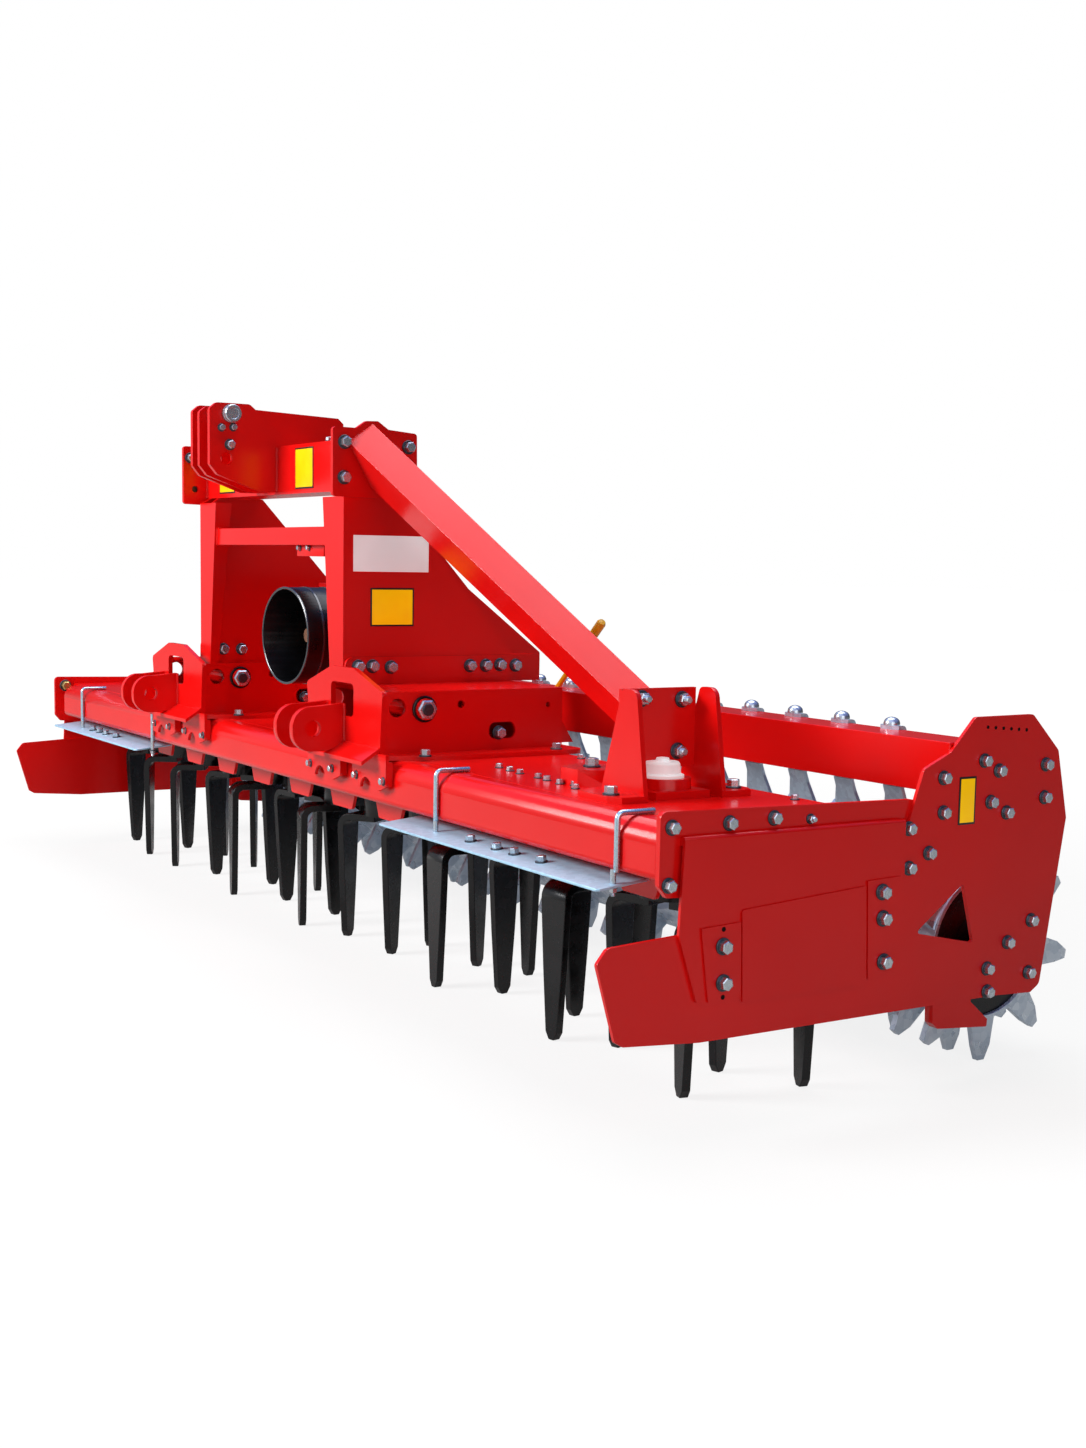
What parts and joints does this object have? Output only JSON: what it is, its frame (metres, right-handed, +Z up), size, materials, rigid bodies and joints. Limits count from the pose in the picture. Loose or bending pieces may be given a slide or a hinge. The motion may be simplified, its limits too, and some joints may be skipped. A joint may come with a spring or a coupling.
{
  "type": "power harrow",
  "caption": "Tractor mounted power harrow: gear trough with vertical rotors and knife tines, three point hitch, drive shaft stub, side plates and a spiked packer roller.",
  "frame": {"origin": "centre of the bounding box's base, on the ground the tine tips and roller teeth stand on", "axes": "X across the working width, -Y towards the tractor, +Y towards the roller, +Z up"},
  "size_m": [3.608, 1.2559, 1.375],
  "materials": {
    "black_paint": "black painted forged steel",
    "black_plastic": "black moulded plastic",
    "bright_steel": "bright machined steel",
    "gear_red": "red painted cast housing",
    "red_paint": "glossy powder coated red steel",
    "yellow_zinc": "yellow passivated steel",
    "zinc": "galvanised steel with a pale blue-grey sheen"
  },
  "bodies": {
    "frame": {"gear_trough": "red_paint", "trough_lid": "red_paint", "front_beam": "red_paint", "end_plate_right": "red_paint", "end_plate_left": "red_paint", "lower_hitch_right": "red_paint", "lower_hitch_left": "red_paint", "tower_right": "red_paint", "tower_left": "red_paint", "cross_tube": "red_paint", "head_beam": "red_paint", "head_plates": "red_paint", "top_link_pin": "yellow_zinc", "side_brace": "red_paint", "brace_bracket": "red_paint", "gearbox": "gear_red", "pto_guard": "black_plastic", "stone_guards": "zinc", "guard_hooks": "zinc", "side_plate_right": "red_paint", "side_plate_left": "red_paint", "side_shield_right": "red_paint", "side_shield_left": "red_paint", "side_skids": "red_paint", "roller_bearings": "red_paint", "roller_beam": "red_paint", "scrapers": "zinc"},
    "input_shaft": {"input_shaft": "bright_steel"},
    "roller": {"packer_roller": "zinc", "roller_ends": "black_paint"},
    "rotor_01": {"rotor_01_head": "black_paint", "rotor_01_tines": "black_paint"},
    "rotor_02": {"rotor_02_head": "black_paint", "rotor_02_tines": "black_paint"},
    "rotor_03": {"rotor_03_head": "black_paint", "rotor_03_tines": "black_paint"},
    "rotor_04": {"rotor_04_head": "black_paint", "rotor_04_tines": "black_paint"},
    "rotor_05": {"rotor_05_head": "black_paint", "rotor_05_tines": "black_paint"},
    "rotor_06": {"rotor_06_head": "black_paint", "rotor_06_tines": "black_paint"},
    "rotor_07": {"rotor_07_head": "black_paint", "rotor_07_tines": "black_paint"},
    "rotor_08": {"rotor_08_head": "black_paint", "rotor_08_tines": "black_paint"},
    "rotor_09": {"rotor_09_head": "black_paint", "rotor_09_tines": "black_paint"},
    "rotor_10": {"rotor_10_head": "black_paint", "rotor_10_tines": "black_paint"},
    "rotor_11": {"rotor_11_head": "black_paint", "rotor_11_tines": "black_paint"},
    "rotor_12": {"rotor_12_head": "black_paint", "rotor_12_tines": "black_paint"},
    "rotor_13": {"rotor_13_head": "black_paint", "rotor_13_tines": "black_paint"},
    "rotor_14": {"rotor_14_head": "black_paint", "rotor_14_tines": "black_paint"}
  },
  "joints": [
    {"name": "rotor_01_spin", "type": "hinge", "parent": "frame", "child": "rotor_01", "pos_m": [-1.625, -0.165, 0.42], "axis": [0, 0, 1], "continuous": true},
    {"name": "rotor_02_spin", "type": "hinge", "parent": "frame", "child": "rotor_02", "pos_m": [-1.375, -0.165, 0.42], "axis": [0, 0, 1], "continuous": true},
    {"name": "rotor_03_spin", "type": "hinge", "parent": "frame", "child": "rotor_03", "pos_m": [-1.125, -0.165, 0.42], "axis": [0, 0, 1], "continuous": true},
    {"name": "rotor_04_spin", "type": "hinge", "parent": "frame", "child": "rotor_04", "pos_m": [-0.875, -0.165, 0.42], "axis": [0, 0, 1], "continuous": true},
    {"name": "rotor_05_spin", "type": "hinge", "parent": "frame", "child": "rotor_05", "pos_m": [-0.625, -0.165, 0.42], "axis": [0, 0, 1], "continuous": true},
    {"name": "rotor_06_spin", "type": "hinge", "parent": "frame", "child": "rotor_06", "pos_m": [-0.375, -0.165, 0.42], "axis": [0, 0, 1], "continuous": true},
    {"name": "rotor_07_spin", "type": "hinge", "parent": "frame", "child": "rotor_07", "pos_m": [-0.125, -0.165, 0.42], "axis": [0, 0, 1], "continuous": true},
    {"name": "rotor_08_spin", "type": "hinge", "parent": "frame", "child": "rotor_08", "pos_m": [0.125, -0.165, 0.42], "axis": [0, 0, 1], "continuous": true},
    {"name": "rotor_09_spin", "type": "hinge", "parent": "frame", "child": "rotor_09", "pos_m": [0.375, -0.165, 0.42], "axis": [0, 0, 1], "continuous": true},
    {"name": "rotor_10_spin", "type": "hinge", "parent": "frame", "child": "rotor_10", "pos_m": [0.625, -0.165, 0.42], "axis": [0, 0, 1], "continuous": true},
    {"name": "rotor_11_spin", "type": "hinge", "parent": "frame", "child": "rotor_11", "pos_m": [0.875, -0.165, 0.42], "axis": [0, 0, 1], "continuous": true},
    {"name": "rotor_12_spin", "type": "hinge", "parent": "frame", "child": "rotor_12", "pos_m": [1.125, -0.165, 0.42], "axis": [0, 0, 1], "continuous": true},
    {"name": "rotor_13_spin", "type": "hinge", "parent": "frame", "child": "rotor_13", "pos_m": [1.375, -0.165, 0.42], "axis": [0, 0, 1], "continuous": true},
    {"name": "rotor_14_spin", "type": "hinge", "parent": "frame", "child": "rotor_14", "pos_m": [1.625, -0.165, 0.42], "axis": [0, 0, 1], "continuous": true},
    {"name": "input_spin", "type": "hinge", "parent": "frame", "child": "input_shaft", "pos_m": [0, -0.3, 0.797], "axis": [0, 1, 0], "continuous": true},
    {"name": "roller_spin", "type": "hinge", "parent": "frame", "child": "roller", "pos_m": [0, 0.393, 0.24], "axis": [1, 0, 0], "continuous": true}
  ],
  "couplings": [
    {"joint": "rotor_02_spin", "follows": "rotor_01_spin", "ratio": -1},
    {"joint": "rotor_03_spin", "follows": "rotor_01_spin", "ratio": 1},
    {"joint": "rotor_04_spin", "follows": "rotor_01_spin", "ratio": -1},
    {"joint": "rotor_05_spin", "follows": "rotor_01_spin", "ratio": 1},
    {"joint": "rotor_06_spin", "follows": "rotor_01_spin", "ratio": -1},
    {"joint": "rotor_07_spin", "follows": "rotor_01_spin", "ratio": 1},
    {"joint": "rotor_08_spin", "follows": "rotor_01_spin", "ratio": -1},
    {"joint": "rotor_09_spin", "follows": "rotor_01_spin", "ratio": 1},
    {"joint": "rotor_10_spin", "follows": "rotor_01_spin", "ratio": -1},
    {"joint": "rotor_11_spin", "follows": "rotor_01_spin", "ratio": 1},
    {"joint": "rotor_12_spin", "follows": "rotor_01_spin", "ratio": -1},
    {"joint": "rotor_13_spin", "follows": "rotor_01_spin", "ratio": 1},
    {"joint": "rotor_14_spin", "follows": "rotor_01_spin", "ratio": -1},
    {"joint": "input_spin", "follows": "rotor_01_spin", "ratio": 3}
  ]
}
